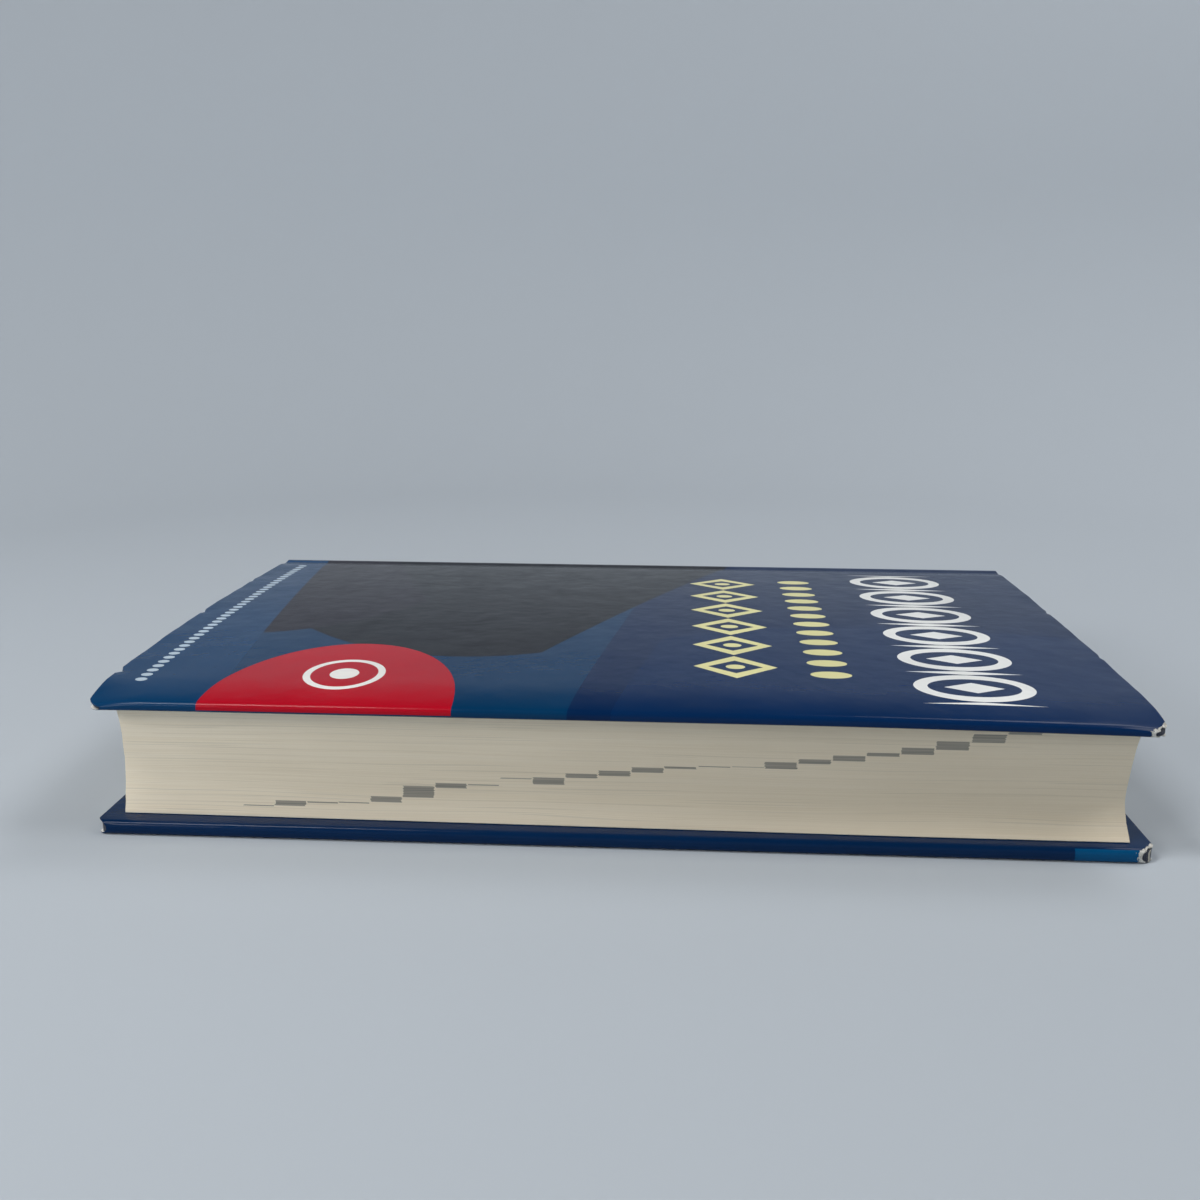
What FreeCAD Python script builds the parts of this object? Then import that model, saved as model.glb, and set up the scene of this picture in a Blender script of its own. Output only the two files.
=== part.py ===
import FreeCAD, Part
import math
import os

# A hardback book in its paper jacket, lying shut on its back cover. Sizes are in millimetres.
# X runs along the spine with the head of the pages at +X, Y runs from the fore-edge to the spine,
# and Z points up from the table. The origin is under the middle of the book.
#
# The cross-section is drawn in two distances. d is measured from the plane of the shoulders
# towards the fore-edge, and h from the middle of the thickness towards one of the covers.

# Leaves
PAGE_HEIGHT = 215.0
LEAVES_THICKNESS = 24.5
BLOCK_WIDTH = 139.5
FORE_EDGE_HOLLOW = 3.3
ENDPAPER = 0.15

# Case
BOARD = 2.0
CLOTH = 0.3
HEAD_SQUARE = 4.0
FORE_SQUARE = 3.0
TURN_IN = 15.0
BOARD_SETBACK = 8.5
BOARD_EDGE_ROUND = 0.8
TAIL_CORNER = 3.0
HEAD_CORNER = 3.0
BOW = 1.4
COVER_GAP = 0.1

# Spine
SPINE_RADIUS = 24.0
MULL = 0.3
MULL_LENGTH = 191.0
LINING = 0.3
LINING_LENGTH = 212.0
HOLLOW = 0.3
STRIP = 0.8
SHOULDER_ROUND = 0.6
SHOULDER_DROP = 0.2
SHOULDER_SLOPE = 60.0
BEAD = 1.8

# Jacket
JACKET = 0.2
JACKET_PROUD = 0.2
FLAP_WIDTH = 88.0
TEAR = 3.6

# Joints between the pages and the covers
HINGE_SETBACK = 1.2
SWEEP_CLEARANCE = 0.25
GROOVE_CLEARANCE = 0.6

# What each cover is made of, counted outwards from its inner face
FLAP_TOP = JACKET
PASTEDOWN_TOP = FLAP_TOP + ENDPAPER
BOARD_INNER = PASTEDOWN_TOP + CLOTH
BOARD_OUTER = BOARD_INNER + BOARD
CLOTH_OUTER = BOARD_OUTER + CLOTH
COVER = CLOTH_OUTER + JACKET

# Places worked out from the sizes above
LEAVES_HALF = LEAVES_THICKNESS / 2
BLOCK_HALF = LEAVES_HALF + ENDPAPER
COVER_INNER = BLOCK_HALF + COVER_GAP
MIDDLE_Z = COVER_INNER + COVER
PAGE_END = PAGE_HEIGHT / 2
BOARD_END = PAGE_END + HEAD_SQUARE
CLOTH_END = BOARD_END + CLOTH
JACKET_END = CLOTH_END + JACKET_PROUD
BOARD_FORE = BLOCK_WIDTH + FORE_SQUARE
CLOTH_FORE = BOARD_FORE + CLOTH
JACKET_FORE = CLOTH_FORE + JACKET
BOW_MIDDLE = (BOARD_SETBACK + BOARD_FORE) / 2
BOW_HALF = (BOARD_FORE - BOARD_SETBACK) / 2
BOW_RADIUS = (BOW_HALF ** 2 + BOW ** 2) / (2 * BOW)
LINING_TOP = SPINE_RADIUS + MULL + LINING
STRIP_INNER = LINING_TOP + HOLLOW
STRIP_OUTER = STRIP_INNER + STRIP
SHOULDER_TOP = MIDDLE_Z - SHOULDER_DROP
SHOULDER_H = SHOULDER_TOP - JACKET - CLOTH - SHOULDER_ROUND
SPINE_CENTRE = math.sqrt((STRIP_OUTER - SHOULDER_ROUND) ** 2 - SHOULDER_H ** 2)
SHOULDER_ANGLE = math.atan2(SHOULDER_H, SPINE_CENTRE)
CROWN = STRIP_OUTER + CLOTH + JACKET - SPINE_CENTRE
SHOULDER_Y = (JACKET_FORE - CROWN) / 2
SLOPE = math.radians(SHOULDER_SLOPE)
GROOVE_EDGE = BOARD_SETBACK - CLOTH - HINGE_SETBACK
GROOVE_END = HINGE_SETBACK + GROOVE_EDGE - GROOVE_CLEARANCE
BRIDGE_RISE = SHOULDER_TOP - COVER_INNER
BRIDGE_END = HINGE_SETBACK + math.sqrt((GROOVE_EDGE - SWEEP_CLEARANCE) ** 2 - BRIDGE_RISE ** 2)
JACKET_START = HINGE_SETBACK + math.sqrt(GROOVE_EDGE ** 2 - CLOTH_OUTER ** 2)
BEYOND = 20.0

FRONT = 1
BACK = -1


def section_point(d, h, side=FRONT):
    """The point of the cross-section at distance d and height h, on the front or back half."""
    return FreeCAD.Vector(0, SHOULDER_Y - d, MIDDLE_Z + side * h)


def line(start, end):
    return Part.makeLine(start, end)


def arc(start, middle, end):
    return Part.Arc(start, middle, end).toShape()


def prism(edges, start, end):
    """The closed outline of edges, drawn at x = 0, as a solid from x = start to x = end."""
    face = Part.Face(Part.Wire(Part.__sortEdges__(edges)))
    face.translate(FreeCAD.Vector(start, 0, 0))
    return face.extrude(FreeCAD.Vector(end - start, 0, 0))


def even_prism(edges, half):
    return prism(edges, -half, half)


def cover_height(d, t, bow):
    """Height of the surface that lies t outside a cover's inner face, which is an arc if it bows."""
    if not bow:
        return COVER_INNER + t
    drop = math.sqrt(BOW_RADIUS ** 2 - BOW_HALF ** 2)
    return COVER_INNER - drop + math.sqrt((BOW_RADIUS + t) ** 2 - (d - BOW_MIDDLE) ** 2)


def cover_surface(start, end, t, side):
    """The edge of one surface of a cover, bowed on the front and flat on the back."""
    bow = side == FRONT
    first = section_point(start, cover_height(start, t, bow), side)
    last = section_point(end, cover_height(end, t, bow), side)
    if not bow:
        return line(first, last)
    between = (start + end) / 2
    return arc(first, section_point(between, cover_height(between, t, bow), side), last)


def cover_layer(side, inner, outer, hinge, fore, half, edge_round=0.0):
    """A plate of the cover between two surfaces, with its two fore-edge arrises rounded."""
    low = cover_surface(hinge, fore, inner, side)
    high = cover_surface(hinge, fore, outer, side)
    ends = [line(low.valueAt(low.FirstParameter), high.valueAt(high.FirstParameter))]
    ends.append(line(low.valueAt(low.LastParameter), high.valueAt(high.LastParameter)))
    plate = even_prism([low, high] + ends, half)
    if edge_round:
        limit = SHOULDER_Y - fore
        arrises = [e for e in plate.Edges if fore_arris(e, limit)]
        plate = plate.makeFillet(edge_round, arrises)
    return plate


def fore_arris(edge, y):
    """Whether an edge runs along the book at the fore-edge of its plate."""
    box = edge.BoundBox
    return box.XLength > box.ZLength and abs(box.YMin - y) < 1e-6 and abs(box.YMax - y) < 1e-6


def corner_arc(x, y, radius, side):
    """The round corner of a plate seen from above, with the corner itself at x, y."""
    centre = FreeCAD.Vector(x - side * radius, y + radius, 0)
    reach = radius * math.sqrt(0.5)
    start = centre + FreeCAD.Vector(side * radius, 0, 0)
    middle = centre + FreeCAD.Vector(side * reach, -reach, 0)
    return arc(start, middle, centre - FreeCAD.Vector(0, radius, 0))


def plan(half, fore, grow):
    """The outline of a cover from above, with worn round corners, as a tall block to cut plates with."""
    y = SHOULDER_Y - fore
    back = SHOULDER_Y + BEYOND
    tail = TAIL_CORNER + grow
    head = HEAD_CORNER + grow
    edges = [corner_arc(-half, y, tail, -1), corner_arc(half, y, head, 1)]
    edges.append(line(FreeCAD.Vector(-half + tail, y, 0), FreeCAD.Vector(half - head, y, 0)))
    edges.append(line(FreeCAD.Vector(-half, y + tail, 0), FreeCAD.Vector(-half, back, 0)))
    edges.append(line(FreeCAD.Vector(half, y + head, 0), FreeCAD.Vector(half, back, 0)))
    edges.append(line(FreeCAD.Vector(-half, back, 0), FreeCAD.Vector(half, back, 0)))
    face = Part.Face(Part.Wire(Part.__sortEdges__(edges)))
    face.translate(FreeCAD.Vector(0, 0, -BEYOND))
    return face.extrude(FreeCAD.Vector(0, 0, 2 * (MIDDLE_Z + BEYOND)))


def make_board(side):
    plate = cover_layer(side, BOARD_INNER, BOARD_OUTER, BOARD_SETBACK, BOARD_FORE, BOARD_END, BOARD_EDGE_ROUND)
    return plate.common(plan(BOARD_END, BOARD_FORE, 0))


def make_cover_cloth(side, board):
    """Book cloth over the outside of a board, turned in on its inside at three edges."""
    edge = BOARD_EDGE_ROUND + CLOTH
    wrap = cover_layer(side, PASTEDOWN_TOP, CLOTH_OUTER, BOARD_SETBACK - CLOTH, CLOTH_FORE, CLOTH_END, edge)
    wrap = wrap.common(plan(CLOTH_END, CLOTH_FORE, CLOTH))
    open_side = cover_layer(side, 0, BOARD_INNER, 0, BOARD_FORE - TURN_IN, BOARD_END - TURN_IN)
    return wrap.cut(board).cut(open_side)


def make_pastedown(side, board, cloth):
    """The half of the endpaper on the board, which also fills the window between the turned-in edges."""
    sheet = cover_layer(side, FLAP_TOP, BOARD_INNER, BOARD_SETBACK - CLOTH, BLOCK_WIDTH, PAGE_END)
    return sheet.cut(cloth).cut(board)


def torn_corner():
    """The corner that is torn off the jacket at the head, where the board shows."""
    y = SHOULDER_Y - JACKET_FORE
    outline = [(-1.0, -0.2), (-0.66, 0.16), (-0.58, 0.42), (-0.3, 0.5), (-0.18, 0.82), (0.2, 0.95), (0.4, -0.4)]
    points = [FreeCAD.Vector(JACKET_END + a * TEAR, y + b * TEAR, -BEYOND) for a, b in outline]
    face = Part.Face(Part.makePolygon(points + points[:1]))
    return face.extrude(FreeCAD.Vector(0, 0, 2 * (MIDDLE_Z + BEYOND)))


def make_cover_jacket(side):
    """Jacket paper over one cover, folded round its fore-edge into a flap inside."""
    edge = BOARD_EDGE_ROUND + CLOTH
    sheet = cover_layer(side, 0, COVER, JACKET_START, JACKET_FORE, JACKET_END, edge + JACKET)
    sheet = sheet.common(plan(JACKET_END, JACKET_FORE, CLOTH + JACKET))
    inside = cover_layer(side, FLAP_TOP, CLOTH_OUTER, 0, CLOTH_FORE, JACKET_END + BEYOND, edge)
    beside_flap = cover_layer(side, -FLAP_TOP, BOARD_INNER, 0, JACKET_FORE - FLAP_WIDTH, JACKET_END + BEYOND)
    return sheet.cut(inside).cut(beside_flap).cut(torn_corner())


def on_spine(radius, angle):
    """A point on an arc of the spine, whose angle is counted from the crown."""
    return section_point(SPINE_CENTRE - radius * math.cos(angle), radius * math.sin(angle))


def spine_shell(inner, outer, angle, start, end):
    """A layer that is bent round the spine, between two radii."""
    edges = [arc(on_spine(r, -angle), on_spine(r, 0), on_spine(r, angle)) for r in (inner, outer)]
    edges += [line(on_spine(inner, a), on_spine(outer, a)) for a in (-angle, angle)]
    return prism(edges, start, end)


def shoulder_tip():
    """Where the slope of the shoulder meets the rounded spine of the leaves."""
    d = SHOULDER_ROUND * math.sin(SLOPE)
    h = SHOULDER_H + SHOULDER_ROUND * math.cos(SLOPE)
    along = (d - SPINE_CENTRE) * math.cos(SLOPE) - h * math.sin(SLOPE)
    away = (d - SPINE_CENTRE) ** 2 + h ** 2 - SPINE_RADIUS ** 2
    step = -along - math.sqrt(along ** 2 - away)
    return d + step * math.cos(SLOPE), h - step * math.sin(SLOPE)


def slope_foot(height, t):
    """Distance d at which the shoulder's slope, t outside the leaves, comes down to a height."""
    d = (SHOULDER_ROUND + t) * math.sin(SLOPE)
    h = SHOULDER_H + (SHOULDER_ROUND + t) * math.cos(SLOPE)
    return d + (h - height) / math.tan(SLOPE)


def make_text_block():
    """All the leaves as one block, hollow at the fore-edge and rounded with shoulders at the spine."""
    tip_d, tip_h = shoulder_tip()
    foot = slope_foot(LEAVES_HALF, 0)
    edges = []
    for side in (FRONT, BACK):
        tip = section_point(tip_d, tip_h, side)
        base = section_point(foot, LEAVES_HALF, side)
        edges.append(line(tip, base))
        edges.append(line(base, section_point(BLOCK_WIDTH, LEAVES_HALF, side)))
    tips = [section_point(tip_d, tip_h, side) for side in (FRONT, BACK)]
    edges.append(arc(tips[0], on_spine(SPINE_RADIUS, 0), tips[1]))
    fore = [section_point(BLOCK_WIDTH, LEAVES_HALF, side) for side in (FRONT, BACK)]
    edges.append(arc(fore[0], section_point(BLOCK_WIDTH - FORE_EDGE_HOLLOW, 0), fore[1]))
    return even_prism(edges, PAGE_END)


def make_flyleaf(side):
    """The free half of an endpaper, lying on the leaves."""
    low = slope_foot(LEAVES_HALF, 0)
    high = slope_foot(BLOCK_HALF, 0)
    corners = [(low, LEAVES_HALF), (BLOCK_WIDTH, LEAVES_HALF), (BLOCK_WIDTH, BLOCK_HALF), (high, BLOCK_HALF)]
    points = [section_point(d, h, side) for d, h in corners]
    edges = [line(points[i - 1], points[i]) for i in range(len(points))]
    return even_prism(edges, PAGE_END)


def shoulder_arc(t, leave, side):
    """The round of the shoulder, t outside the strip, from the spine's arc to the direction leave."""
    radius = SHOULDER_ROUND + t
    first = (-math.cos(SHOULDER_ANGLE), math.sin(SHOULDER_ANGLE))
    last = (math.sin(leave), math.cos(leave))
    between = (first[0] + last[0], first[1] + last[1])
    size = math.hypot(between[0], between[1])
    middle = (between[0] / size, between[1] / size)
    points = [section_point(radius * a, SHOULDER_H + radius * b, side) for a, b in (first, middle, last)]
    return arc(points[0], points[1], points[2]), points[2]


def spine_wrap(t, end, level, leave):
    """All that lies inside a sheet wrapped round the spine, t outside the strip, up to distance end."""
    radius = STRIP_OUTER + t
    edges = [arc(*[on_spine(radius, a) for a in (-SHOULDER_ANGLE, 0, SHOULDER_ANGLE)])]
    stops = []
    for side in (FRONT, BACK):
        bend, last = shoulder_arc(t, leave, side)
        foot = section_point(slope_foot(level, t), level, side) if leave else last
        stop = section_point(end, level, side)
        edges += [bend, line(foot, stop)]
        if leave:
            edges.append(line(last, foot))
        stops.append(stop)
    edges.append(line(stops[0], stops[1]))
    return edges


def make_spine_cloth():
    """Book cloth over the spine strip and down into both grooves, turned in at head and tail."""
    outside = even_prism(spine_wrap(CLOTH, GROOVE_END, BLOCK_HALF + CLOTH, SLOPE), CLOTH_END)
    inside = even_prism(spine_wrap(0, GROOVE_END, BLOCK_HALF, SLOPE), CLOTH_END)
    cloth = outside.cut(inside)
    for end in (-1, 1):
        lip = spine_shell(STRIP_INNER, STRIP_OUTER, SHOULDER_ANGLE, end * BOARD_END, end * CLOTH_END)
        fold = spine_shell(LINING_TOP, STRIP_INNER, SHOULDER_ANGLE, end * (BOARD_END - TURN_IN), end * CLOTH_END)
        cloth = cloth.fuse(lip).fuse(fold)
    return cloth.removeSplitter()


def make_spine_jacket():
    """Jacket paper round the spine, bridging both grooves."""
    outside = spine_wrap(CLOTH + JACKET, BRIDGE_END, SHOULDER_TOP, 0)
    inside = spine_wrap(CLOTH, BRIDGE_END, SHOULDER_TOP - JACKET, 0)
    return even_prism(outside, JACKET_END).cut(even_prism(inside, JACKET_END))


def make_band(end):
    """The bead of a head or tail band on the ends of the leaves, with its tape glued on the spine."""
    angle = math.asin(LEAVES_HALF / (SPINE_RADIUS + MULL - BEAD))
    tape = spine_shell(SPINE_RADIUS, SPINE_RADIUS + MULL, angle, end * MULL_LENGTH / 2, end * (PAGE_END + BEAD / 2))
    centre = on_spine(SPINE_RADIUS + MULL - BEAD / 2, 0) + FreeCAD.Vector(end * (PAGE_END + BEAD / 2), 0, 0)
    ring = Part.makeCircle(BEAD / 2, centre, FreeCAD.Vector(0, 0, 1))
    face = Part.Face(Part.Wire(ring))
    axis_point = section_point(SPINE_CENTRE, 0)
    along = FreeCAD.Vector(1, 0, 0)
    face.rotate(axis_point, along, -math.degrees(angle))
    bead = face.revolve(axis_point, along, 2 * math.degrees(angle))
    return bead.fuse(tape).removeSplitter()


def make_spine_layers():
    """The gauze and paper glued on the leaves' spine, and the loose card strip behind them."""
    tip_d, tip_h = shoulder_tip()
    angle = math.atan2(tip_h, SPINE_CENTRE - tip_d)
    gauze = MULL_LENGTH / 2
    paper = LINING_LENGTH / 2
    layers = {"spine_mull": spine_shell(SPINE_RADIUS, SPINE_RADIUS + MULL, angle, -gauze, gauze)}
    layers["spine_lining"] = spine_shell(SPINE_RADIUS + MULL, LINING_TOP, angle, -paper, paper)
    layers["spine_strip"] = spine_shell(STRIP_INNER, STRIP_OUTER, SHOULDER_ANGLE, -BOARD_END, BOARD_END)
    return layers


def make_cover(name, side):
    board = make_board(side)
    cloth = make_cover_cloth(side, board)
    pieces = {name + "_board": board, name + "_cloth": cloth}
    pieces[name + "_pastedown"] = make_pastedown(side, board, cloth)
    pieces["jacket_" + name] = make_cover_jacket(side)
    return pieces


def make_book():
    nodes = {"text_block": make_text_block()}
    nodes["front_flyleaf"] = make_flyleaf(FRONT)
    nodes["back_flyleaf"] = make_flyleaf(BACK)
    nodes.update(make_spine_layers())
    nodes["headband"] = make_band(1)
    nodes["tailband"] = make_band(-1)
    nodes["spine_cloth"] = make_spine_cloth()
    nodes["jacket_spine"] = make_spine_jacket()
    nodes.update(make_cover("front", FRONT))
    nodes.update(make_cover("back", BACK))
    return nodes


os.makedirs("parts", exist_ok=True)
for node, shape in make_book().items():
    shape.exportStep("parts/" + node + ".step")
    box = shape.BoundBox
    print(node, len(shape.Solids), "solid", round(shape.Volume, 1), "mm3",
          [round(v, 2) for v in (box.XMin, box.XMax, box.YMin, box.YMax, box.ZMin, box.ZMax)])
print("hinges at y", round(SHOULDER_Y - HINGE_SETBACK, 4), "z", round(MIDDLE_Z + COVER_INNER, 4),
      "and", round(MIDDLE_Z - COVER_INNER, 4))
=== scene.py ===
# %% [markdown]
# # A hardback book in a glossy paper jacket
# The real object is a thick sewn book that lies on its back cover: a block of cream leaves, two
# boards covered in cloth, and a printed, laminated paper jacket wrapped round the lot.
# The back board with its cloth and lining paper, and the gauze, paper and card of the spine, come
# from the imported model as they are. What needs a finer surface, or shows its wear, is modelled
# here: the leaves, the flyleaves, the front board in its cloth, the jacket, the soft joints of the
# spine and the little sewn bands.

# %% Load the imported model
import math
import bmesh
import bpy
from mathutils import Matrix, Vector


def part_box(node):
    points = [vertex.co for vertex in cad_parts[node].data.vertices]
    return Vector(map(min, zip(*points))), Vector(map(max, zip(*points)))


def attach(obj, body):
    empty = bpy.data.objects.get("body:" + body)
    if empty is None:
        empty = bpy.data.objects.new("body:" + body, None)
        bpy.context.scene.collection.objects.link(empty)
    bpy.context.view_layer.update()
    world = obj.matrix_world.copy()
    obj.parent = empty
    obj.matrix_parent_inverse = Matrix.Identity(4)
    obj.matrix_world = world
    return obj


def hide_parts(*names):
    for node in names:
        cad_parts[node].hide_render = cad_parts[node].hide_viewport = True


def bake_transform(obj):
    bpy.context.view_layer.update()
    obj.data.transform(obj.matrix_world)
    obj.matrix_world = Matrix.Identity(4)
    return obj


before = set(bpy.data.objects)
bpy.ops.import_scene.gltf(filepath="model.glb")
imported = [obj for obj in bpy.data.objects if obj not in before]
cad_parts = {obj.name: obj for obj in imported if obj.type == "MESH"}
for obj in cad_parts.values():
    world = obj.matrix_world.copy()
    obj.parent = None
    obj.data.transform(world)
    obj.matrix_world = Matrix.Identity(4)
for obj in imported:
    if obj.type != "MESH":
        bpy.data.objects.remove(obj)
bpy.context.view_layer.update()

# %% [markdown]
# The places come from the model's own sizes. X runs up the book from tail to head, Y from the
# fore-edge to the spine, and Z from the back cover to the front one. The spine is an arc about
# one centre line, and the front cover is bowed, an arc about a line far below the book.

# %% Sizes and places
MM = 0.001
PAGE_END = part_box("text_block")[1].x / MM
JACKET_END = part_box("jacket_front")[1].x / MM
CLOTH_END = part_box("front_cloth")[1].x / MM
FORE_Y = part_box("jacket_back")[0].y / MM
MIDDLE_Z = 15.65
SPINE_Y = 48.1037
SHOULDER_Y = 68.6967
SHOULDER_Z = 30.0
SHOULDER_ANGLE = 34.87
BOW_Y = -6.8033
BOW_Z = -1574.364
BOW_RADIUS = 1603.914
COVER = 3.15
FOLD_ROUND = 1.3
print("jacket", round(JACKET_END, 2), "pages", round(PAGE_END, 2), "fore-edge", round(FORE_Y, 3))

# %% [markdown]
# Everything is shaped with the edit mode tools, and they act on what is selected. These helpers
# clear the selection, pick points, edges or faces by where they are, and apply a modifier.

# %% Helpers for modelling
def deselect():
    """Leaves edit mode and deselects every object."""
    if bpy.context.object and bpy.context.object.mode != "OBJECT":
        bpy.ops.object.mode_set(mode="OBJECT")
    bpy.ops.object.select_all(action="DESELECT")


def activate(piece):
    """Selects one piece alone and makes it the active one."""
    deselect()
    piece.select_set(True)
    bpy.context.view_layer.objects.active = piece


def edit(piece):
    """Makes one piece active and opens it in edit mode."""
    activate(piece)
    bpy.ops.object.mode_set(mode="EDIT")


def settle(name):
    """Names the shape just added, applies its place to its mesh and opens it in edit mode."""
    piece = bpy.context.object
    piece.name = name
    bpy.ops.object.transform_apply(location=True, rotation=True, scale=True)
    bpy.ops.object.mode_set(mode="EDIT")
    return piece


def shade(piece, degrees):
    """Shades a piece smooth, apart from its edges that are sharper than an angle."""
    activate(piece)
    bpy.ops.object.shade_smooth_by_angle(angle=math.radians(degrees))


def pick(kind, test):
    """In edit mode, selects the points, edges or faces whose every corner passes a test in millimetres."""
    bpy.ops.mesh.select_mode(type=kind)
    bpy.ops.mesh.select_all(action="DESELECT")
    mesh = bmesh.from_edit_mesh(bpy.context.object.data)
    parts = {"VERT": mesh.verts, "EDGE": mesh.edges, "FACE": mesh.faces}[kind]
    found = 0
    for part in parts:
        corners = [part] if kind == "VERT" else part.verts
        if all(test(corner.co / MM) for corner in corners):
            part.select_set(True)
            found += 1
    mesh.select_flush_mode()
    bmesh.update_edit_mesh(bpy.context.object.data)
    return found


def pick_edges_along(axis):
    """In edit mode, selects the edges that run along one axis."""
    bpy.ops.mesh.select_mode(type="EDGE")
    bpy.ops.mesh.select_all(action="DESELECT")
    mesh = bmesh.from_edit_mesh(bpy.context.object.data)
    for line in mesh.edges:
        way = line.verts[1].co - line.verts[0].co
        line.select_set(abs(way[axis]) > 0.99 * way.length)
    mesh.select_flush_mode()
    bmesh.update_edit_mesh(bpy.context.object.data)


def shape_with(piece, kind, **settings):
    """Adds a modifier to a piece and applies it."""
    activate(piece)
    made = piece.modifiers.new(kind.lower(), kind)
    for key, value in settings.items():
        setattr(made, key, value)
    bpy.ops.object.modifier_apply(modifier=made.name)


def close_up(piece):
    """Merges doubled points, turns the faces outwards and shades the piece smooth."""
    edit(piece)
    bpy.ops.mesh.select_all(action="SELECT")
    bpy.ops.mesh.remove_doubles(threshold=0.00001)
    bpy.ops.mesh.normals_make_consistent(inside=False)
    shade(piece, 40)


# %% [markdown]
# ## Wrapped sheets
# A jacket is one flat sheet that a binder bends round the spine, over the board and round its
# fore-edge. It could be cut from a solid, but drawing it the way it is wrapped is easier to follow:
# one straight edge is laid along the crown of the spine, and then spun round each bend and pulled
# along each flat. A list of moves says what the edge does, and side -1 mirrors it to the back.

# %% Helper that draws a wrapped sheet
def mirrored(z, side):
    return MIDDLE_Z + side * (z - MIDDLE_Z)


def draw_sheet(name, half, cuts, start, moves, side=1):
    """Draws a sheet from one edge. A turn is (y, z, degrees, steps) and a run is (dy, dz, steps)."""
    deselect()
    size = half * MM
    bpy.ops.mesh.primitive_plane_add(size=2 * size, location=(0, size, 0))
    sheet = settle(name)
    pick("VERT", lambda p: p.y > half)
    bpy.ops.mesh.delete(type="VERT")
    for count in cuts:
        bpy.ops.mesh.select_all(action="SELECT")
        bpy.ops.mesh.subdivide(number_cuts=count)
    bpy.ops.mesh.select_all(action="SELECT")
    bpy.ops.transform.translate(value=(0, start[0] * MM, mirrored(start[1], side) * MM))
    for move in moves:
        if len(move) == 4:
            y, z, degrees, steps = move
            centre = (0, y * MM, mirrored(z, side) * MM)
            turn = -side * math.radians(degrees)
            bpy.ops.mesh.spin(steps=steps, angle=turn, center=centre, axis=(1, 0, 0))
        else:
            dy, dz, steps = move
            step = (0, dy / steps * MM, side * dz / steps * MM)
            for _ in range(steps):
                bpy.ops.mesh.extrude_region_move(TRANSFORM_OT_translate={"value": step})
    close_up(sheet)
    print(name, len(sheet.data.polygons), "faces")
    return sheet


def face_out(sheet, way=(0, 1, 0)):
    """Turns the sheet over if its face that lies furthest out one way looks back."""
    way = Vector(way)
    outer = max(sheet.data.polygons, key=lambda face: face.center.dot(way))
    if outer.normal.dot(way) < 0:
        edit(sheet)
        bpy.ops.mesh.select_all(action="SELECT")
        bpy.ops.mesh.flip_normals()
        deselect()


# %% [markdown]
# ## The block of leaves
# Rounding a book's spine pushes its middle leaves back, so the fore-edge turns hollow. A cube of
# the block's size is cut into rows of leaves, and its middle row is pushed back with a falloff
# that fades to the outer leaves. At the spine the leaves fan out into two small shoulders.

# %% The block of leaves
BLOCK_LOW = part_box("text_block")[0] / MM
BLOCK_HALF = 12.25
EAR_START = 66.79
EAR_END = 67.71
depth = EAR_START - BLOCK_LOW.y
deselect()
bpy.ops.mesh.primitive_cube_add(
    size=1,
    location=(0, (EAR_START - depth / 2) * MM, MIDDLE_Z * MM),
    scale=(2 * PAGE_END * MM, depth * MM, 2 * BLOCK_HALF * MM),
)
pages = settle("page_block")
for axis, cuts in ((2, 97), (0, 99), (1, 35)):
    pick_edges_along(axis)
    bpy.ops.mesh.subdivide(number_cuts=cuts)
pick("FACE", lambda p: p.y > EAR_START - 0.01)
bpy.ops.mesh.extrude_region_move(TRANSFORM_OT_translate={"value": (0, (EAR_END - EAR_START) * MM, 0)})
bpy.ops.transform.resize(value=(1, 1, 1.13), center_override=(0, EAR_END * MM, MIDDLE_Z * MM))
pick("VERT", lambda p: p.y < BLOCK_LOW.y + 0.01 and abs(p.z - MIDDLE_Z) < 0.01)
bpy.ops.transform.translate(
    value=(0, 3.3 * MM, 0),
    use_proportional_edit=True,
    proportional_edit_falloff="INVERSE_SQUARE",
    proportional_size=BLOCK_HALF * MM,
)
pick("VERT", lambda p: p.y > EAR_END - 0.01 and abs(p.z - MIDDLE_Z) < 0.01)
bpy.ops.transform.translate(
    value=(0, 4.39 * MM, 0),
    use_proportional_edit=True,
    proportional_edit_falloff="INVERSE_SQUARE",
    proportional_size=13.84 * MM,
)
deselect()
print("page_block", len(pages.data.polygons), "faces")

# %% [markdown]
# No two leaves are cut exactly alike, so their edges stand a few hundredths of a millimetre in and
# out. A Displace modifier does this with a cloud texture that is stretched along the leaves: it
# reads the place of an empty that is scaled flat, and the empty is taken away afterwards. A plain
# shift is the same modifier without a texture, with its own weight at each point.

# %% Helpers that move a surface
def group_where(piece, name, weight):
    """A vertex group whose weight at each point comes from its place in millimetres."""
    made = piece.vertex_groups.new(name=name)
    for vertex in piece.data.vertices:
        share = weight(vertex.co / MM)
        if share > 0:
            made.add([vertex.index], min(share, 1.0), "REPLACE")
    return name


def ruffle(piece, group, direction, strength, stretch, middle=0.5):
    """Moves the points of a group in and out by a cloud texture with its own scale on each axis."""
    cloud = bpy.data.textures.new(piece.name + "_cloud", "CLOUDS")
    cloud.noise_scale = 1.0
    cloud.noise_depth = 2
    deselect()
    bpy.ops.object.empty_add(location=(0, 0, 0))
    guide = bpy.context.object
    guide.scale = [length * MM for length in stretch]
    bpy.context.view_layer.update()
    shape_with(
        piece,
        "DISPLACE",
        texture=cloud,
        texture_coords="OBJECT",
        texture_coords_object=guide,
        direction=direction,
        strength=strength * MM,
        mid_level=middle,
        vertex_group=group,
    )
    bpy.data.objects.remove(guide)


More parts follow.
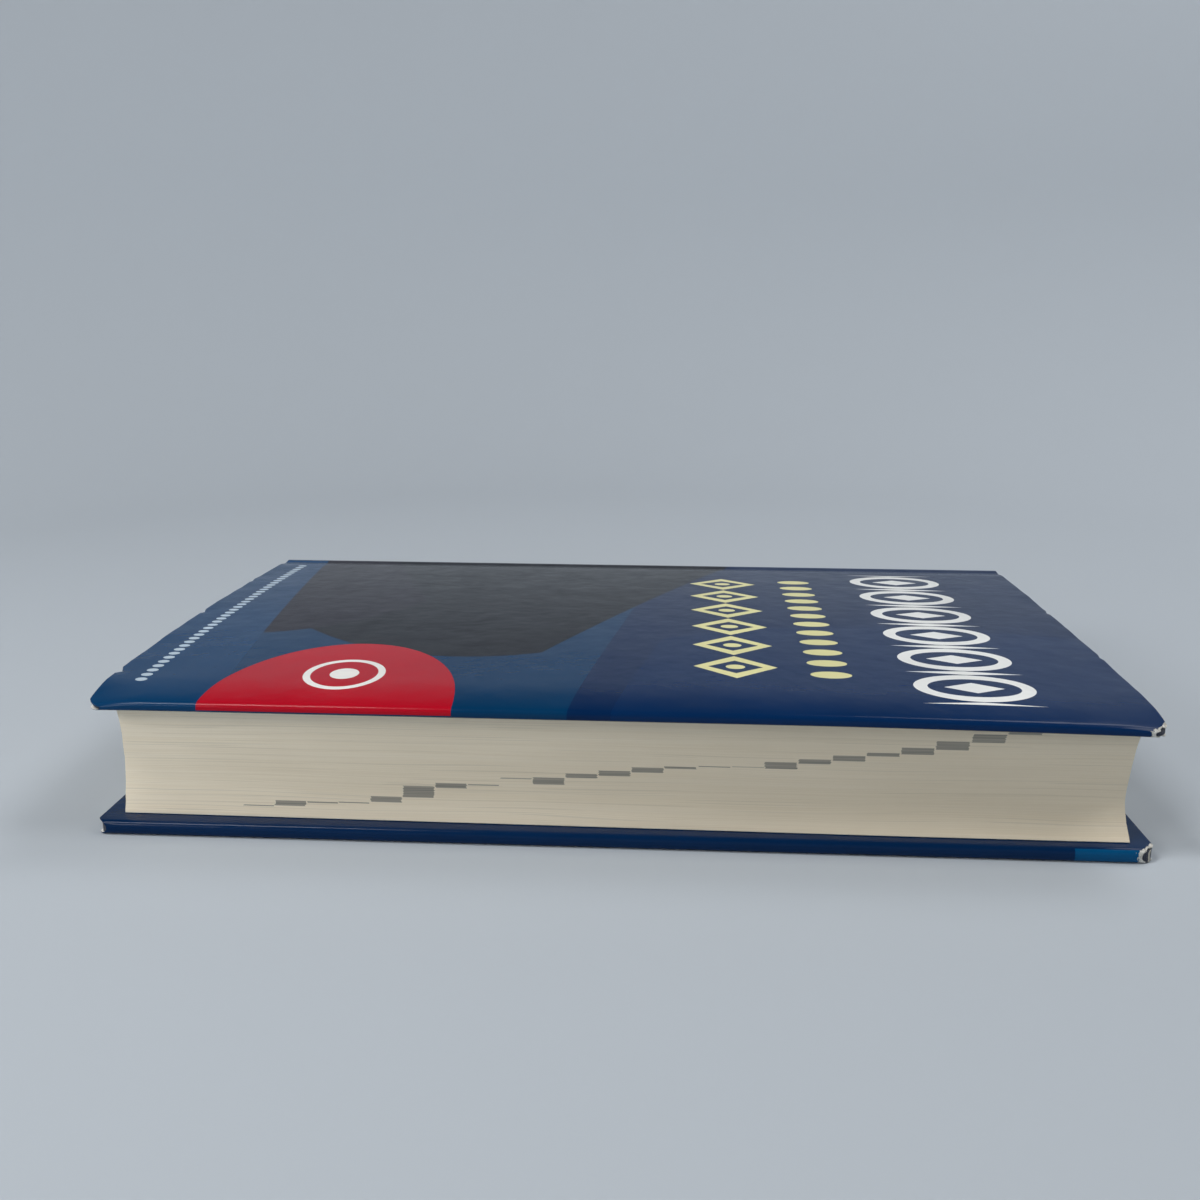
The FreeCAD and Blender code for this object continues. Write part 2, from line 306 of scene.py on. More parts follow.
def shift(piece, direction, most, amount):
    """Moves every point along an axis by its own amount in millimetres, which is at most most."""
    share = group_where(piece, "shift", lambda p: amount(p) / most)
    shape_with(piece, "DISPLACE", direction=direction, strength=most * MM, mid_level=0, vertex_group=share)
    piece.vertex_groups.clear()


def eased(value, start, end, power=1.5):
    """0 before start, rising to 1 at end."""
    return min(1.0, max(0.0, (value - start) / (end - start))) ** power


# %% [markdown]
# The leaves of this copy no longer make an even hollow. At the tail the outer leaves stand further
# back, low at the head a whole stretch does, and the front cover has pressed the head corner down.

# %% Uneven leaves
TAIL_SET_BACK = 1.4
HEAD_SET_BACK = 2.6


def pressed(p):
    """How far the front cover's corner at the head has sunk."""
    return 0.75 * eased(p.x, 40, 112) * eased(-p.y, 20, 74)


def set_back(p):
    """How far the leaves' edges lie behind the even hollow, at the tail and low at the head."""
    height = (p.z - MIDDLE_Z) / BLOCK_HALF
    tail = TAIL_SET_BACK * eased(-p.x, -60, 107.5, 1) * height * height
    low = math.exp(-((height + 0.58) / 0.58) ** 2) * (1 - height ** 4)
    return (tail + HEAD_SET_BACK * eased(p.x, 20, 107.5, 1.3) * low) * eased(-p.y, 55, 66, 1)


shift(pages, "Y", 3.0, set_back)
shift(pages, "Z", -2.0, lambda p: -pressed(p) * eased(p.z, 3.4, 27.9))
fore = group_where(pages, "fore_edge", lambda p: 1.0 if p.y < -65.5 else 0.0)
ends = group_where(pages, "ends", lambda p: 1.0 if abs(p.x) > PAGE_END - 0.01 else 0.0)
ruffle(pages, fore, "Y", 0.07, (90, 90, 0.55))
ruffle(pages, fore, "Y", 0.16, (120, 120, 3.5))
ruffle(pages, ends, "X", 0.09, (90, 90, 0.55))
ruffle(pages, ends, "X", 0.2, (120, 120, 3.5))
shade(pages, 50)
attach(pages, "book_block")
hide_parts("text_block")
print("page_block spans", [round(v / MM, 2) for v in pages.dimensions])

# %% [markdown]
# The first and the last leaf are the free halves of the endpapers. They are thin sheets of their
# own, set back at the tail and pressed at the head like the leaves next to them.

# %% Flyleaves
flyleaves = []
for name, side in (("front", 1), ("back", -1)):
    leaf = draw_sheet(name + "_flyleaf_sheet", PAGE_END, (55,), (66.6, 28.05), [(-137.4, 0, 40)], side)
    face_out(leaf, (0, 0, side))
    shape_with(leaf, "SOLIDIFY", thickness=0.15 * MM, offset=-1)
    shift(leaf, "Y", 2.0, lambda p: TAIL_SET_BACK * eased(-p.x, -60, 107.5, 1) * eased(-p.y, 40, 70, 1))
    if side > 0:
        shift(leaf, "Z", -2.0, lambda p: -pressed(p))
    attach(leaf, "book_block")
    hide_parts(name + "_flyleaf")
    flyleaves.append(leaf)
print("flyleaves", [leaf.name for leaf in flyleaves])

# %% [markdown]
# ## The jacket
# Two sheets make it, one for each cover. Each starts at
# the crown of the spine, goes round the shoulder, sags a little over the groove, follows the
# board, and folds round its fore-edge into a flap. The front board is bowed, so its sheet spins
# about the bow's far centre line. The back one is flat.

# %% Moves of the jacket
def over_groove(length, rise, dip, rows):
    """Short pulls that cross the groove with a sag in the middle."""
    pulls = []
    for row in range(rows):
        sag = math.sin(math.pi * (row + 1) / rows) ** 2 - math.sin(math.pi * row / rows) ** 2
        pulls.append((-length / rows, rise / rows - dip * sag, 1))
    return pulls


BRIDGE_Y = 61.43
fold_tilt = math.degrees(math.asin((BOW_Y - (FORE_Y + FOLD_ROUND)) / (BOW_RADIUS + COVER - FOLD_ROUND)))
flap_tilt = math.degrees(math.asin((BOW_Y - (FORE_Y + FOLD_ROUND)) / (BOW_RADIUS + FOLD_ROUND)))
bridge_tilt = math.degrees(math.asin((BRIDGE_Y - BOW_Y) / (BOW_RADIUS + COVER)))
bridge_z = BOW_Z + (BOW_RADIUS + COVER) * math.cos(math.radians(bridge_tilt))
upper_z = BOW_Z + (BOW_RADIUS + COVER - FOLD_ROUND) * math.cos(math.radians(fold_tilt))
lower_z = BOW_Z + (BOW_RADIUS + FOLD_ROUND) * math.cos(math.radians(flap_tilt))
FLAP = 86.7
around_spine = [(SPINE_Y, MIDDLE_Z, SHOULDER_ANGLE, 16), (SHOULDER_Y, SHOULDER_Z, 90 - SHOULDER_ANGLE, 7)]
front_moves = around_spine + over_groove(SHOULDER_Y - BRIDGE_Y, bridge_z - SHOULDER_Z - 1.1, 0.35, 12)
front_moves += [
    (BOW_Y, BOW_Z, bridge_tilt + fold_tilt, 66),
    (FORE_Y + FOLD_ROUND, upper_z, 90 - fold_tilt, 8),
    (0, lower_z - upper_z, 1),
    (FORE_Y + FOLD_ROUND, lower_z, 90 + flap_tilt, 8),
    (BOW_Y, BOW_Z, -math.degrees(FLAP / BOW_RADIUS), 40),
]
BACK_TOP = 2 * MIDDLE_Z
back_moves = around_spine + over_groove(SHOULDER_Y - BRIDGE_Y, BACK_TOP - SHOULDER_Z - 1.1, 0.35, 12)
back_moves += [
    (FORE_Y + FOLD_ROUND - BRIDGE_Y, 0, 66),
    (FORE_Y + FOLD_ROUND, BACK_TOP - FOLD_ROUND, 90, 8),
    (0, -(COVER - 2 * FOLD_ROUND), 1),
    (FORE_Y + FOLD_ROUND, BACK_TOP - COVER + FOLD_ROUND, 90, 8),
    (FLAP, 0, 40),
]
CROWN = (SPINE_Y + 26.2, MIDDLE_Z)
front_jacket = draw_sheet("front_jacket_sheet", JACKET_END, (55, 1), CROWN, front_moves)
back_jacket = draw_sheet("back_jacket_sheet", JACKET_END, (55, 1), CROWN, back_moves, -1)
print("fold tilt", round(fold_tilt, 3), "bridge z", round(bridge_z, 3))

# %% [markdown]
# Handling has left its marks on the paper. Its head and tail edges stand off the front board in
# soft waves, and the tail edge has a few small nicks. The waves are a Displace on the outer 9 mm,
# and a nick is one point of the edge, pushed in and down.

# %% Waves and nicks
def near_ends(p, reach):
    """0 in the middle of the sheet, rising to 1 at its head and tail edges."""
    share = (abs(p.x) - (JACKET_END - reach)) / reach
    return max(0.0, share) ** 1.5


def outside(p):
    """Whether a point is on the upper face of the front cover, and not on its flap or the spine."""
    return p.y < 62 and p.z - MIDDLE_Z > 14.2


for sheet in (front_jacket, back_jacket):
    face_out(sheet)
wavy = group_where(front_jacket, "wavy", lambda p: near_ends(p, 9) if outside(p) else 0.0)
ruffle(front_jacket, wavy, "NORMAL", 0.5, (14, 9, 14), 0.4)
NICKS = ((-1, -57, 0.7), (-1, -5, 0.45), (-1, 33, 0.3), (1, -31, 0.3), (1, 12, 0.35))
for end, y, size in NICKS:
    edit(front_jacket)
    found = pick("VERT", lambda p: p.x * end > JACKET_END - 0.5 and abs(p.y - y) < 1.05 and outside(p))
    bpy.ops.transform.translate(value=(-end * size * MM, 0, -0.6 * size * MM))
    deselect()
    print("nick of", size, "mm moves", found, "points")

# %% [markdown]
# ## The front board
# Years on a shelf have pressed the head of the front cover: its bow dies away there, and its
# corner has sunk on to the leaves. Its upper face rolls softly down to the fore-edge, most of all
# at the tail corner. A board in its cloth is a flat block, so it is a cube cut into a grid, with
# its corners bevelled in plan and its arrises bevelled again, and then bowed and pressed by the
# same amounts as the jacket on it. The back board is flat and stays as packed.

# %% Front board in its cloth, and its lining paper
BOW_HALF = 67.0
BOW_RISE = 1.4


def on_bow(p):
    """1 along the crown of the bow, falling to 0 at its two edges."""
    return 1 - min(1.0, abs(p.y - BOW_Y) / BOW_HALF) ** 2


def sunk(p):
    """How far a point of the front cover lies below the even bow."""
    upper = eased(p.z, 28.15, 31.1, 1)
    corner = (1.5 if p.x < 0 else 1.0) * eased(abs(p.x), 100, 112, 2) * eased(-p.y, 60, 74, 2)
    rolled = 0.9 * eased(-p.y, 60, 74.3, 2) + corner
    return pressed(p) + 1.0 * eased(p.x, 20, 112) * on_bow(p) + upper * rolled


def bowed(p):
    """How far the bow lifts a point of the flat cover."""
    return BOW_RISE * on_bow(p)


HINGE_EDGE = 60.5
CLOTH_FORE = FORE_Y + 0.2
BOARD_LOW = 28.5
BOARD_HIGH = 31.1
deselect()
bpy.ops.mesh.primitive_cube_add(
    size=1,
    location=(0, (HINGE_EDGE + CLOTH_FORE) / 2 * MM, (BOARD_LOW + BOARD_HIGH) / 2 * MM),
    scale=(2 * CLOTH_END * MM, (HINGE_EDGE - CLOTH_FORE) * MM, (BOARD_HIGH - BOARD_LOW) * MM),
)
board = settle("front_board_in_cloth")
for axis, cuts in ((0, 47), (1, 29)):
    pick_edges_along(axis)
    bpy.ops.mesh.subdivide(number_cuts=cuts)
CORNERS = {1: 3.3, -1: 4.3}
for end, radius in CORNERS.items():
    pick("EDGE", lambda p: p.x * end > CLOTH_END - 0.01 and p.y < CLOTH_FORE + 0.01)
    bpy.ops.mesh.bevel(offset=radius * MM, segments=6, affect="EDGES")


def on_rim(p):
    """Whether a point is on the round outline of the board, above or below."""
    radius = CORNERS[1 if p.x > 0 else -1]
    corner = math.hypot(max(0.0, abs(p.x) - CLOTH_END + radius), max(0.0, CLOTH_FORE + radius - p.y))
    return (corner > radius - 0.05 or abs(p.x) > CLOTH_END - 0.01) and p.y < HINGE_EDGE - 0.01


for level in (BOARD_LOW, BOARD_HIGH):
    pick("EDGE", lambda p: abs(p.z - level) < 0.01 and on_rim(p))
    bpy.ops.mesh.bevel(offset=1.0 * MM, segments=4, affect="EDGES")
close_up(board)
shift(board, "Z", 2.0, bowed)
shift(board, "Z", -4.0, lambda p: -sunk(p))
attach(board, "front_cover")
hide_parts("front_board", "front_cloth")
print("front_board_in_cloth", len(board.data.polygons), "faces")
lining = draw_sheet("front_pastedown_sheet", PAGE_END, (55,), (HINGE_EDGE, BOARD_LOW), [(-131.3, 0, 40)])
face_out(lining, (0, 0, 1))
shape_with(lining, "SOLIDIFY", thickness=0.14 * MM, offset=-1)
shift(lining, "Z", 2.0, bowed)
shift(lining, "Z", -4.0, lambda p: -sunk(p))
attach(lining, "front_cover")
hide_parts("front_pastedown")

# %% [markdown]
# ## Soft joints
# Under the jacket a strip of book cloth runs from the spine down into the groove and up to the
# board, and under that lies the fold of the endpaper.

# %% Joint cloth and endpapers
CLOTH_SLOPE = 115.13
groove_z = 28.62
slope_y = SHOULDER_Y - 0.9 * math.sin(math.radians(60))
slope_z = SHOULDER_Z + 0.9 * math.cos(math.radians(60))
foot_y = slope_y - (slope_z - groove_z) / math.tan(math.radians(60))
cloth_moves = [
    (SPINE_Y, MIDDLE_Z, SHOULDER_ANGLE, 16),
    (SHOULDER_Y, SHOULDER_Z, CLOTH_SLOPE, 12),
    (foot_y - slope_y, groove_z - slope_z, 3),
    (HINGE_EDGE - foot_y, 0, 14),
]
joints = []
for name, side in (("front", 1), ("back", -1)):
    cover = name + "_cover"
    cloth = draw_sheet(name + "_joint_cloth", CLOTH_END, (55,), (SPINE_Y + 26.0, MIDDLE_Z), cloth_moves, side)
    face_out(cloth)
    shape_with(cloth, "SOLIDIFY", thickness=0.3 * MM, offset=-1)
    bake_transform(cloth)
    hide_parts("spine_cloth")
    strip = draw_sheet(name + "_joint_endpaper", PAGE_END, (55,), (66.5, 28.26), [(-6.1, 0, 14)], side)
    face_out(strip, (0, 0, side))
    shape_with(strip, "SOLIDIFY", thickness=0.15 * MM, offset=-1)
    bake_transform(strip)
    joints += [cloth, strip]

# %% [markdown]
# ## Sewn bands
# At head and tail a cord sewn over with thread sits on the ends of the leaves. One turn of the
# thread is a small torus, and a spin with duplicates lays it along the arc of the spine. The cord
# inside is a circle spun along the same arc.

# %% Head and tail bands
BAND_RADIUS = 23.4
BAND_ANGLE = 32.5
bands = []
for name, end in (("headband", 1), ("tailband", -1)):
    place = (end * 108.4 * MM, (SPINE_Y + BAND_RADIUS) * MM, MIDDLE_Z * MM)
    centre = (0, SPINE_Y * MM, MIDDLE_Z * MM)
    deselect()
    bpy.ops.mesh.primitive_torus_add(
        location=place, major_radius=0.78 * MM, minor_radius=0.17 * MM, major_segments=14, minor_segments=6
    )
    band = settle(name + "_threads")
    bpy.ops.mesh.select_all(action="SELECT")
    bpy.ops.mesh.spin(steps=1, dupli=True, angle=math.radians(BAND_ANGLE), center=centre, axis=(1, 0, 0))
    pick("VERT", lambda p: p.z > MIDDLE_Z - 2)
    bpy.ops.mesh.delete(type="VERT")
    bpy.ops.mesh.select_all(action="SELECT")
    bpy.ops.mesh.spin(steps=72, dupli=True, angle=-2 * math.radians(BAND_ANGLE), center=centre, axis=(1, 0, 0))
    deselect()
    bpy.ops.mesh.primitive_circle_add(location=place, radius=0.75 * MM, vertices=14, fill_type="NGON")
    cord = settle(name + "_cord")
    bpy.ops.mesh.select_all(action="SELECT")
    bpy.ops.mesh.spin(steps=12, angle=math.radians(BAND_ANGLE), center=centre, axis=(1, 0, 0))
    deselect()
    cord.select_set(True)
    band.select_set(True)
    bpy.context.view_layer.objects.active = band
    bpy.ops.object.join()
    close_up(band)
    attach(band, "book_block")
    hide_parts(name)
    bands.append(band)
    print(band.name, len(band.data.polygons), "faces")

# %% [markdown]
# ## Finishes
# Each finish is built from nodes that read Object coordinates, so it is the same from every side
# and stays with the book. These helpers add a node, feed a number, a colour or another node's
# output into it, and turn the coordinates into millimetres.

# %% Helpers for finishes
def paint(code):
    """The linear colour of a hex code such as 2a4f7c."""
    parts = [int(code[i:i + 2], 16) / 255 for i in (0, 2, 4)]
    linear = [c / 12.92 if c <= 0.04045 else ((c + 0.055) / 1.055) ** 2.4 for c in parts]
    return (*linear, 1.0)


def node(tree, kind, **settings):
    made = tree.nodes.new(kind)
    for key, value in settings.items():
        setattr(made, key, value)
    return made


def feed(tree, socket, value):
    """Links an output to a socket, or types a value into it."""
    if isinstance(value, bpy.types.NodeSocket):
        tree.links.new(value, socket)
    else:
        socket.default_value = value


def calc(tree, operation, *values):
    made = node(tree, "ShaderNodeMath", operation=operation)
    for socket, value in zip(made.inputs, values):
        feed(tree, socket, value)
    return made.outputs[0]


def mix(tree, share, first, second):
    """Second over first, by share."""
    made = node(tree, "ShaderNodeMix", data_type="RGBA")
    feed(tree, made.inputs[0], share)
    feed(tree, made.inputs[6], first)
    feed(tree, made.inputs[7], second)
    return made.outputs[2]


def finish(name, **settings):
    """A new material with its constants typed into the shader, and its tree."""
    made = bpy.data.materials.new(name)
    made.use_nodes = True
    shader = made.node_tree.nodes["Principled BSDF"]
    for key, value in settings.items():
        shader.inputs[key.replace("_", " ")].default_value = value
    return made, made.node_tree, shader


def millimetres(tree):
    """X, Y and Z of a point of the book, in millimetres."""
    place = node(tree, "ShaderNodeTexCoord").outputs["Object"]
    scaled = node(tree, "ShaderNodeVectorMath", operation="SCALE")
    feed(tree, scaled.inputs[0], place)
    scaled.inputs["Scale"].default_value = 1 / MM
    split = node(tree, "ShaderNodeSeparateXYZ")
    feed(tree, split.inputs[0], scaled.outputs[0])
    return split.outputs[0], split.outputs[1], split.outputs[2]


def spread(tree, value, low, high, top=1.0, kind="LINEAR"):
    """A value that rises from 0 at low to top at high."""
    made = node(tree, "ShaderNodeMapRange", interpolation_type=kind)
    feed(tree, made.inputs["Value"], value)
    for socket, number in (("From Min", low), ("From Max", high), ("To Max", top)):
        made.inputs[socket].default_value = number
    return made.outputs[0]


def distance(tree, across, along):
    """The length of a step across and a step along."""
    squares = [calc(tree, "MULTIPLY", length, length) for length in (across, along)]
    return calc(tree, "SQRT", calc(tree, "ADD", *squares))


def grain(tree, x, y, z, stretch, detail=2.0, roughness=0.5):
    """Noise whose blobs are stretch millimetres long on each axis, spread over 0 to 1."""
    joined = node(tree, "ShaderNodeCombineXYZ")
    for socket, value, length in zip(joined.inputs, (x, y, z), stretch):
        feed(tree, socket, calc(tree, "DIVIDE", value, length))
    made = node(tree, "ShaderNodeTexNoise")
    feed(tree, made.inputs["Vector"], joined.outputs[0])
    made.inputs["Scale"].default_value = 1.0
    made.inputs["Detail"].default_value = detail
    made.inputs["Roughness"].default_value = roughness
    return spread(tree, made.outputs[0], 0.3, 0.7)


def bump(tree, shader, height, depth):
    """Relief on the shader, depth millimetres high."""
    made = node(tree, "ShaderNodeBump")
    made.inputs["Strength"].default_value = 1.0
    made.inputs["Distance"].default_value = depth * MM
    feed(tree, made.inputs["Height"], height)
    feed(tree, shader.inputs["Normal"], made.outputs[0])


def dress(piece, *materials):
    """Gives a piece its materials, in order."""
    piece.data.materials.clear()
    for material in materials:
        piece.data.materials.append(material)


# %% [markdown]
# ### Leaf edges
# Seen from the fore-edge, the leaves are hair lines of lighter and darker cream. Noise that is
# long across the block and thin through it draws them, and a slower noise bends them a little, as
# no leaf lies quite flat. Their cream is also painted darker from the tail towards the head, a
# painted shade for light that falls off across the block. A row of small grey index bars is printed
# to the leaves' edges. It climbs in even steps from tail to head: the step comes from x, and its
# foot and top from a ramp.

# %% Leaf edges and index bars
BARS = (
    (5.5, 5.7), (5.7, 6.7), (6.4, 6.65), (6.6, 6.8), (7.0, 8.2), (8.2, 10.7), (10.4, 11.5), (11.2, 11.4),
    (12.75, 12.95), (11.7, 13.2), (13.3, 14.2), (13.9, 15.0), (14.75, 15.9), (15.8, 16.3), (16.4, 16.6),
    (16.6, 16.7), (16.4, 18.0), (17.75, 18.9), (18.65, 20.0), (20.0, 20.8), (20.6, 22.2), (21.9, 24.0),
    (23.9, 26.1), (26.2, 26.8),
)
paper, tree, shader = finish("leaf_edges", Roughness=0.85, Specular_IOR_Level=0.25)
x, y, z = millimetres(tree)
wave = grain(tree, x, y, z, (70, 70, 6), 1.0)
leaf_z = calc(tree, "MULTIPLY_ADD", wave, 0.9, z)
hair = grain(tree, x, y, leaf_z, (60, 60, 0.16), 3.0, 0.6)
strand = grain(tree, x, y, leaf_z, (90, 90, 1.1), 2.0, 0.5)
cloudy = grain(tree, x, y, z, (40, 40, 9), 2.0)
tone = mix(tree, hair, paint("ebdcc2"), paint("f9ecd4"))
tone = mix(tree, calc(tree, "MULTIPLY", strand, 0.4), tone, paint("fbf0dc"))
tone = mix(tree, calc(tree, "MULTIPLY", cloudy, 0.12), tone, paint("c6b79c"))
# Painted shade: the leaf edges turn darker from the tail towards the head, standing in for light that falls off
# across the block.
tone = mix(tree, spread(tree, x, -100, 30, 0.42), tone, paint("b9ad97"))
proud = calc(tree, "GREATER_THAN", grain(tree, x, y, leaf_z, (55, 55, 0.3), 1.0), 0.88)
tone = mix(tree, calc(tree, "MULTIPLY", proud, 0.17), tone, paint("968f80"))
cell = calc(tree, "DIVIDE", calc(tree, "ADD", x, 81.0), 7.05)
jag = grain(tree, x, y, leaf_z, (200, 200, 0.2), 1.0)
cell = calc(tree, "ADD", cell, calc(tree, "MULTIPLY", jag, 0.05))
level = calc(tree, "DIVIDE", calc(tree, "ADD", calc(tree, "FLOOR", cell), 0.5), len(BARS))
marked = calc(tree, "LESS_THAN", calc(tree, "FRACT", cell), 0.955)
bar_z = calc(tree, "MULTIPLY_ADD", wave, 0.25, calc(tree, "SUBTRACT", z, 0.12))
for number in (0, 1):
    ramp = node(tree, "ShaderNodeValToRGB")
    ramp.color_ramp.interpolation = "CONSTANT"
    for index, bar in enumerate(BARS):
        grey = bar[number] / 30
        stop = ramp.color_ramp.elements[0] if index == 0 else ramp.color_ramp.elements.new(index / len(BARS))
        stop.color = (grey, grey, grey, 1)
    ramp.color_ramp.elements.remove(ramp.color_ramp.elements[-1])
    feed(tree, ramp.inputs[0], level)
    limit = calc(tree, "MULTIPLY", ramp.outputs[0], 30.0)
    test = "GREATER_THAN" if number == 0 else "LESS_THAN"
    marked = calc(tree, "MULTIPLY", marked, calc(tree, test, bar_z, limit))
for test, socket, limit in (("GREATER_THAN", cell, 0.0), ("LESS_THAN", cell, 24.0), ("LESS_THAN", y, -60.0)):
    marked = calc(tree, "MULTIPLY", marked, calc(tree, test, socket, limit))
worn = calc(tree, "MULTIPLY_ADD", hair, -0.3, 0.85)
tone = mix(tree, calc(tree, "MULTIPLY", marked, worn), tone, paint("5d6263"))
feed(tree, shader.inputs["Base Color"], tone)
bump(tree, shader, calc(tree, "ADD", hair, strand), 0.018)
dress(pages, paper)
print("index bars", len(BARS), "ramp stops", len(ramp.color_ramp.elements))

# %% [markdown]
# ### Papers, cloth, card and thread
# The plain papers are soft and matt with a trace of fibre. The book cloth is a fine plain weave:
# two sine waves at right angles make its threads. The gauze is the same weave, wide open.

# %% Plain papers, card, cloth and thread
def fibre_paper(name, light, dark, rough=0.9):
    made, tree, shader = finish(name, Roughness=rough, Specular_IOR_Level=0.25)
    x, y, z = millimetres(tree)
    fibres = grain(tree, x, y, z, (0.9, 0.35, 0.9), 3.0, 0.6)
    patches = grain(tree, x, y, z, (30, 30, 30), 2.0)
    tone = mix(tree, fibres, paint(dark), paint(light))
    tone = mix(tree, calc(tree, "MULTIPLY", patches, 0.25), tone, paint(dark))
    feed(tree, shader.inputs["Base Color"], tone)
    bump(tree, shader, fibres, 0.02)
    return made


def woven(name, light, dark, pitch, depth, worn=False):
    made, tree, shader = finish(name, Roughness=0.75, Sheen_Weight=0.15, Sheen_Roughness=0.5)
    x, y, z = millimetres(tree)
    across = calc(tree, "ADD", y, z)
    threads = []
    for value in (x, across):
        swell = calc(tree, "SINE", calc(tree, "MULTIPLY", value, 2 * math.pi / pitch))
        threads.append(calc(tree, "MULTIPLY_ADD", swell, 0.5, 0.5))
    height = calc(tree, "MULTIPLY", threads[0], threads[1])
    slubs = grain(tree, x, y, z, (3, 3, 3), 3.0)
    tone = mix(tree, height, paint(dark), paint(light))
    tone = mix(tree, calc(tree, "MULTIPLY", slubs, 0.35), tone, paint(dark))
    if worn:
        tip = distance(tree, calc(tree, "SUBTRACT", x, CLOTH_END), calc(tree, "SUBTRACT", y, CLOTH_FORE))
        bare = calc(tree, "LESS_THAN", calc(tree, "MULTIPLY_ADD", slubs, 0.5, tip), 1.6)
        tone = mix(tree, bare, tone, paint("b8b1a0"))
    feed(tree, shader.inputs["Base Color"], tone)
    bump(tree, shader, height, depth)
    return made


endpaper = fibre_paper("endpaper", "efece2", "dcd8ca")
kraft = fibre_paper("lining_kraft", "b39a72", "957d57")
card = fibre_paper("board_card", "a8a399", "7c776d")
white_paper = fibre_paper("jacket_paper_core", "f4f3ee", "dfddd4", 0.7)
navy_cloth = woven("navy_book_cloth", "1d2b47", "0d1526", 0.45, 0.06, True)
gauze = woven("gauze", "e9e4d4", "b5ae9a", 1.4, 0.15)
thread, tree, shader = finish("band_thread", Roughness=0.55, Sheen_Weight=0.3)
x, y, z = millimetres(tree)
turn = calc(tree, "ARCTAN2", calc(tree, "SUBTRACT", z, MIDDLE_Z), calc(tree, "SUBTRACT", y, SPINE_Y))
pair = calc(tree, "FRACT", calc(tree, "MULTIPLY", turn, 14.0))
tone = mix(tree, calc(tree, "GREATER_THAN", pair, 0.5), paint("e8e2d2"), paint("24406e"))
strands = grain(tree, x, y, z, (0.2, 0.2, 0.2), 2.0)
feed(tree, shader.inputs["Base Color"], mix(tree, calc(tree, "MULTIPLY", strands, 0.3), tone, paint("3a3a3a")))
bump(tree, shader, strands, 0.03)
for band in bands:
    dress(band, thread)
for piece in joints + flyleaves + [board, lining]:
    cloth_made = piece.name.endswith("cloth")
    dress(piece, navy_cloth if cloth_made else endpaper)
plain = {"back_pastedown": endpaper, "back_board": card, "spine_strip": card, "back_cloth": navy_cloth}
plain.update({"spine_mull": gauze, "spine_lining": kraft})
for name, material in plain.items():
    dress(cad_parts[name], material)
print("plain finishes on", len(plain) + len(joints) + len(bands), "pieces")

# %% [markdown]
# ### Printed jacket
# The print is built from plain shapes: fields of blue, navy and slate, a red half oval at the
# fore-edge, two columns of ornament in white and pale yellow, and a row of small dashes at the
# tail. A shape is a test on x and y that gives 1 inside and 0 outside, and each one is mixed over
# what lies under it. The film on top is glossy, with smudges in its gloss, small pits and soft dents.

# %% Shapes of the print
def below(tree, value, limit):
    return calc(tree, "LESS_THAN", value, limit)


def both(tree, *tests):
    made = tests[0]
    for test in tests[1:]:
        made = calc(tree, "MULTIPLY", made, test)
    return made


def between(tree, value, low, high):
    return both(tree, calc(tree, "GREATER_THAN", value, low), below(tree, value, high))


def oval(tree, x, y, middle, radii):
    """1 inside an oval about middle."""
    parts = []
    for value, centre, radius in zip((x, y), middle, radii):
        share = calc(tree, "DIVIDE", calc(tree, "SUBTRACT", value, centre), radius)
        parts.append(calc(tree, "MULTIPLY", share, share))
    return below(tree, calc(tree, "ADD", *parts), 1.0)


def lozenge(tree, x, y, middle, radii):
    """1 inside a lozenge about middle."""
    parts = []
    for value, centre, radius in zip((x, y), middle, radii):
        share = calc(tree, "DIVIDE", calc(tree, "SUBTRACT", value, centre), radius)
        parts.append(calc(tree, "ABSOLUTE", share))
    return below(tree, calc(tree, "ADD", *parts), 1.0)


def half_plane(tree, x, y, a, b, limit):
    """1 where a x + b y is below limit."""
    return below(tree, calc(tree, "ADD", calc(tree, "MULTIPLY", x, a), calc(tree, "MULTIPLY", y, b)), limit)


def repeated(tree, value, start, pitch):
    """The distance from the middle of the nearest of many even cells."""
    cells = calc(tree, "FRACT", calc(tree, "DIVIDE", calc(tree, "SUBTRACT", value, start), pitch))
    return calc(tree, "MULTIPLY", calc(tree, "SUBTRACT", cells, 0.5), pitch)


# %% [markdown]
# The corner at the head of each cover is worn through. The film's tint gives way to bare fibre
# there, within a ragged distance of the corner and along the rim of its round.

# %% Jacket film and print
TORN_ROUND = 4.8


